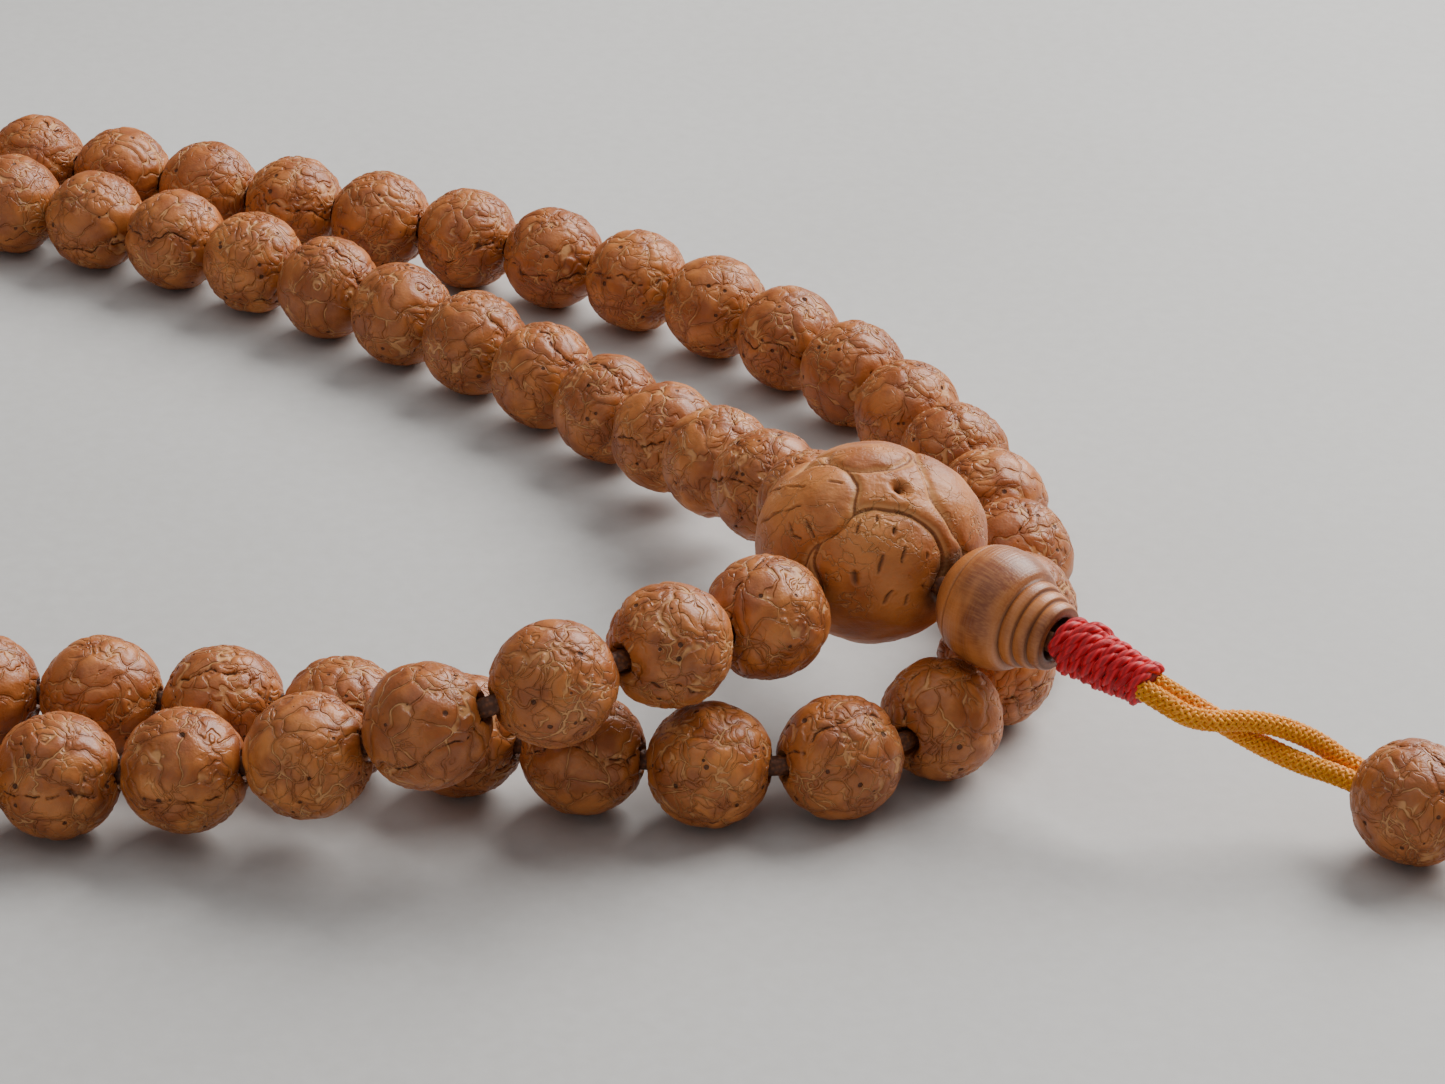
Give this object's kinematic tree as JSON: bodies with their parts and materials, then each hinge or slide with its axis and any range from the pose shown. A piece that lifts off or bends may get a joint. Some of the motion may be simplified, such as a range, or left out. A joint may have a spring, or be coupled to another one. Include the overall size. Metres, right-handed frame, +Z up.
{
  "type": "mala prayer beads",
  "caption": "Doubled strand of round prayer beads with a three-hole guru bead, a turned cap bead, a red thread whipping and a two-cord tail that ends in a bead and a knot.",
  "frame": {"origin": "on the resting plane, under the middle of the strand's box, tail left out", "axes": "+X towards the tail along the longer side, +Y away from the rising run, +Z up"},
  "size_m": [0.2612, 0.1608, 0.0224],
  "materials": {
    "seed": "satin dried seed, creased and pitted",
    "guru_seed": "satin dried seed, lobed and grooved",
    "turned_wood": "waxed turned wood with fine grain",
    "gold_cord": "braided synthetic cord",
    "red_thread": "twisted polyester thread"
  },
  "bodies": {
    "strand": {"string_loop": "gold_cord", "guru_bead": "guru_seed", "thread_whipping": "red_thread", "beads_008_to_018": "seed", "beads_019_to_029": "seed", "beads_030_to_041": "seed", "beads_068_to_077": "seed", "beads_078_to_086": "seed", "beads_087_to_096": "seed"},
    "bead_001": {"bead_001": "seed"},
    "bead_002": {"bead_002": "seed"},
    "bead_003": {"bead_003": "seed"},
    "bead_004": {"bead_004": "seed"},
    "bead_005": {"bead_005": "seed"},
    "bead_006": {"bead_006": "seed"},
    "bead_007": {"bead_007": "seed"},
    "bead_042": {"bead_042": "seed"},
    "bead_043": {"bead_043": "seed"},
    "bead_044": {"bead_044": "seed"},
    "bead_045": {"bead_045": "seed"},
    "bead_046": {"bead_046": "seed"},
    "bead_047": {"bead_047": "seed"},
    "bead_048": {"bead_048": "seed"},
    "bead_049": {"bead_049": "seed"},
    "bead_050": {"bead_050": "seed"},
    "bead_051": {"bead_051": "seed"},
    "bead_052": {"bead_052": "seed"},
    "bead_053": {"bead_053": "seed"},
    "bead_054": {"bead_054": "seed"},
    "bead_055": {"bead_055": "seed"},
    "bead_056": {"bead_056": "seed"},
    "bead_057": {"bead_057": "seed"},
    "bead_058": {"bead_058": "seed"},
    "bead_059": {"bead_059": "seed"},
    "bead_060": {"bead_060": "seed"},
    "bead_061": {"bead_061": "seed"},
    "bead_062": {"bead_062": "seed"},
    "bead_063": {"bead_063": "seed"},
    "bead_064": {"bead_064": "seed"},
    "bead_065": {"bead_065": "seed"},
    "bead_066": {"bead_066": "seed"},
    "bead_067": {"bead_067": "seed"},
    "bead_097": {"bead_097": "seed"},
    "bead_098": {"bead_098": "seed"},
    "bead_099": {"bead_099": "seed"},
    "bead_100": {"bead_100": "seed"},
    "bead_101": {"bead_101": "seed"},
    "bead_102": {"bead_102": "seed"},
    "bead_103": {"bead_103": "seed"},
    "bead_104": {"bead_104": "seed"},
    "bead_105": {"bead_105": "seed"},
    "bead_106": {"bead_106": "seed"},
    "bead_107": {"bead_107": "seed"},
    "bead_108": {"bead_108": "seed"},
    "cap_bead": {"cap_bead": "turned_wood"},
    "tail": {"tail_cord_near": "gold_cord", "tail_cord_far": "gold_cord", "end_knot": "gold_cord"},
    "tail_bead": {"tail_bead": "seed"}
  },
  "joints": [
    {"name": "cap_bead_spin", "type": "hinge", "parent": "strand", "child": "cap_bead", "pos_m": [0.10017, -0.05577, 0.013], "axis": [0.7385, -0.665, -0.1115], "continuous": true},
    {"name": "tail_swing", "type": "hinge", "parent": "strand", "child": "tail", "pos_m": [0.11031, -0.0649, 0.01148], "axis": [0, 0, 1], "range_deg": [-30, 30]},
    {"name": "tail_bead_spin", "type": "hinge", "parent": "tail", "child": "tail_bead", "pos_m": [0.1292, -0.0699, 0.00471], "axis": [0.7861, -0.6098, -0.1011], "continuous": true},
    {"name": "bead_001_spin", "type": "hinge", "parent": "strand", "child": "bead_001", "pos_m": [0.08212, -0.05712, 0.01334], "axis": [-0.71, -0.7008, 0.0695], "continuous": true},
    {"name": "bead_002_spin", "type": "hinge", "parent": "strand", "child": "bead_002", "pos_m": [0.07501, -0.06333, 0.01426], "axis": [-0.7844, -0.6164, 0.0694], "continuous": true},
    {"name": "bead_003_spin", "type": "hinge", "parent": "strand", "child": "bead_003", "pos_m": [0.06669, -0.06832, 0.01385], "axis": [-0.924, -0.3341, -0.1862], "continuous": true},
    {"name": "bead_004_spin", "type": "hinge", "parent": "strand", "child": "bead_004", "pos_m": [0.05748, -0.06927, 0.01086], "axis": [-0.9197, 0.1081, -0.3775], "continuous": true},
    {"name": "bead_005_spin", "type": "hinge", "parent": "strand", "child": "bead_005", "pos_m": [0.04873, -0.06768, 0.00755], "axis": [-0.9437, 0.1729, -0.2821], "continuous": true},
    {"name": "bead_006_spin", "type": "hinge", "parent": "strand", "child": "bead_006", "pos_m": [0.03948, -0.06633, 0.00563], "axis": [-0.9843, 0.1114, -0.137], "continuous": true},
    {"name": "bead_007_spin", "type": "hinge", "parent": "strand", "child": "bead_007", "pos_m": [0.03003, -0.06565, 0.00483], "axis": [-0.9991, 0.0306, -0.0299], "continuous": true},
    {"name": "bead_042_spin", "type": "hinge", "parent": "strand", "child": "bead_042", "pos_m": [0.01281, 0.0563, 0.00475], "axis": [0.9366, -0.3505, 0], "continuous": true},
    {"name": "bead_043_spin", "type": "hinge", "parent": "strand", "child": "bead_043", "pos_m": [0.02155, 0.05287, 0.00475], "axis": [0.9254, -0.379, 0], "continuous": true},
    {"name": "bead_044_spin", "type": "hinge", "parent": "strand", "child": "bead_044", "pos_m": [0.03019, 0.04924, 0.00475], "axis": [0.9182, -0.396, 0], "continuous": true},
    {"name": "bead_045_spin", "type": "hinge", "parent": "strand", "child": "bead_045", "pos_m": [0.03876, 0.04541, 0.00475], "axis": [0.9072, -0.4206, 0], "continuous": true},
    {"name": "bead_046_spin", "type": "hinge", "parent": "strand", "child": "bead_046", "pos_m": [0.04722, 0.04134, 0.00475], "axis": [0.8954, -0.4453, 0], "continuous": true},
    {"name": "bead_047_spin", "type": "hinge", "parent": "strand", "child": "bead_047", "pos_m": [0.05557, 0.03703, 0.00475], "axis": [0.8792, -0.4764, 0], "continuous": true},
    {"name": "bead_048_spin", "type": "hinge", "parent": "strand", "child": "bead_048", "pos_m": [0.0637, 0.03224, 0.00475], "axis": [0.843, -0.5379, 0], "continuous": true},
    {"name": "bead_049_spin", "type": "hinge", "parent": "strand", "child": "bead_049", "pos_m": [0.07148, 0.02691, 0.00475], "axis": [0.8052, -0.593, 0], "continuous": true},
    {"name": "bead_050_spin", "type": "hinge", "parent": "strand", "child": "bead_050", "pos_m": [0.07878, 0.02082, 0.00475], "axis": [0.7211, -0.6928, 0], "continuous": true},
    {"name": "bead_051_spin", "type": "hinge", "parent": "strand", "child": "bead_051", "pos_m": [0.08515, 0.01375, 0.00475], "axis": [0.6212, -0.7837, 0], "continuous": true},
    {"name": "bead_052_spin", "type": "hinge", "parent": "strand", "child": "bead_052", "pos_m": [0.09062, 0.00599, 0.00475], "axis": [0.5226, -0.8526, 0], "continuous": true},
    {"name": "bead_053_spin", "type": "hinge", "parent": "strand", "child": "bead_053", "pos_m": [0.09503, -0.00243, 0.00475], "axis": [0.4078, -0.9131, 0], "continuous": true},
    {"name": "bead_054_spin", "type": "hinge", "parent": "strand", "child": "bead_054", "pos_m": [0.0986, -0.01116, 0.00475], "axis": [0.3455, -0.9384, 0], "continuous": true},
    {"name": "bead_055_spin", "type": "hinge", "parent": "strand", "child": "bead_055", "pos_m": [0.10124, -0.02031, 0.00475], "axis": [0.2047, -0.9788, 0], "continuous": true},
    {"name": "bead_056_spin", "type": "hinge", "parent": "strand", "child": "bead_056", "pos_m": [0.10259, -0.02973, 0.00475], "axis": [0.0694, -0.9976, 0], "continuous": true},
    {"name": "bead_057_spin", "type": "hinge", "parent": "strand", "child": "bead_057", "pos_m": [0.10223, -0.0393, 0.00475], "axis": [-0.1372, -0.9905, 0], "continuous": true},
    {"name": "bead_058_spin", "type": "hinge", "parent": "strand", "child": "bead_058", "pos_m": [0.09993, -0.04861, 0.00475], "axis": [-0.3428, -0.9394, 0], "continuous": true},
    {"name": "bead_059_spin", "type": "hinge", "parent": "strand", "child": "bead_059", "pos_m": [0.09534, -0.05711, 0.00475], "axis": [-0.619, -0.7854, 0], "continuous": true},
    {"name": "bead_060_spin", "type": "hinge", "parent": "strand", "child": "bead_060", "pos_m": [0.08755, -0.06295, 0.00475], "axis": [-0.9378, -0.3472, 0], "continuous": true},
    {"name": "bead_061_spin", "type": "hinge", "parent": "strand", "child": "bead_061", "pos_m": [0.07789, -0.06397, 0.00475], "axis": [-0.9946, 0.104, 0], "continuous": true},
    {"name": "bead_062_spin", "type": "hinge", "parent": "strand", "child": "bead_062", "pos_m": [0.06853, -0.06224, 0.00475], "axis": [-0.9693, 0.2459, 0], "continuous": true},
    {"name": "bead_063_spin", "type": "hinge", "parent": "strand", "child": "bead_063", "pos_m": [0.0595, -0.05943, 0.00475], "axis": [-0.9451, 0.3269, 0], "continuous": true},
    {"name": "bead_064_spin", "type": "hinge", "parent": "strand", "child": "bead_064", "pos_m": [0.05045, -0.05669, 0.00475], "axis": [-0.9697, 0.2445, 0], "continuous": true},
    {"name": "bead_065_spin", "type": "hinge", "parent": "strand", "child": "bead_065", "pos_m": [0.0412, -0.05476, 0.00475], "axis": [-0.9849, 0.1732, 0], "continuous": true},
    {"name": "bead_066_spin", "type": "hinge", "parent": "strand", "child": "bead_066", "pos_m": [0.03188, -0.05338, 0.00475], "axis": [-0.9935, 0.1137, 0], "continuous": true},
    {"name": "bead_067_spin", "type": "hinge", "parent": "strand", "child": "bead_067", "pos_m": [0.02246, -0.05265, 0.00475], "axis": [-0.9991, 0.0415, 0], "continuous": true},
    {"name": "bead_097_spin", "type": "hinge", "parent": "strand", "child": "bead_097", "pos_m": [0.02026, 0.04171, 0.00475], "axis": [0.8719, -0.4897, 0], "continuous": true},
    {"name": "bead_098_spin", "type": "hinge", "parent": "strand", "child": "bead_098", "pos_m": [0.02831, 0.03679, 0.00475], "axis": [0.8364, -0.5482, 0], "continuous": true},
    {"name": "bead_099_spin", "type": "hinge", "parent": "strand", "child": "bead_099", "pos_m": [0.03604, 0.03138, 0.00475], "axis": [0.7999, -0.6002, 0], "continuous": true},
    {"name": "bead_100_spin", "type": "hinge", "parent": "strand", "child": "bead_100", "pos_m": [0.04339, 0.02547, 0.00475], "axis": [0.7589, -0.6512, 0], "continuous": true},
    {"name": "bead_101_spin", "type": "hinge", "parent": "strand", "child": "bead_101", "pos_m": [0.05042, 0.01926, 0.00475], "axis": [0.7422, -0.6702, 0], "continuous": true},
    {"name": "bead_102_spin", "type": "hinge", "parent": "strand", "child": "bead_102", "pos_m": [0.05724, 0.01274, 0.00475], "axis": [0.6987, -0.7154, 0], "continuous": true},
    {"name": "bead_103_spin", "type": "hinge", "parent": "strand", "child": "bead_103", "pos_m": [0.06358, 0.00575, 0.00475], "axis": [0.6452, -0.764, 0.0017], "continuous": true},
    {"name": "bead_104_spin", "type": "hinge", "parent": "strand", "child": "bead_104", "pos_m": [0.06939, -0.00174, 0.00501], "axis": [0.5747, -0.8159, 0.0628], "continuous": true},
    {"name": "bead_105_spin", "type": "hinge", "parent": "strand", "child": "bead_105", "pos_m": [0.07441, -0.00975, 0.00602], "axis": [0.4794, -0.8649, 0.1485], "continuous": true},
    {"name": "bead_106_spin", "type": "hinge", "parent": "strand", "child": "bead_106", "pos_m": [0.07872, -0.01798, 0.00759], "axis": [0.4424, -0.8789, 0.1782], "continuous": true},
    {"name": "bead_107_spin", "type": "hinge", "parent": "strand", "child": "bead_107", "pos_m": [0.0827, -0.02632, 0.0094], "axis": [0.4005, -0.8926, 0.2073], "continuous": true},
    {"name": "bead_108_spin", "type": "hinge", "parent": "strand", "child": "bead_108", "pos_m": [0.08626, -0.03478, 0.01149], "axis": [0.3594, -0.9033, 0.2345], "continuous": true}
  ]
}
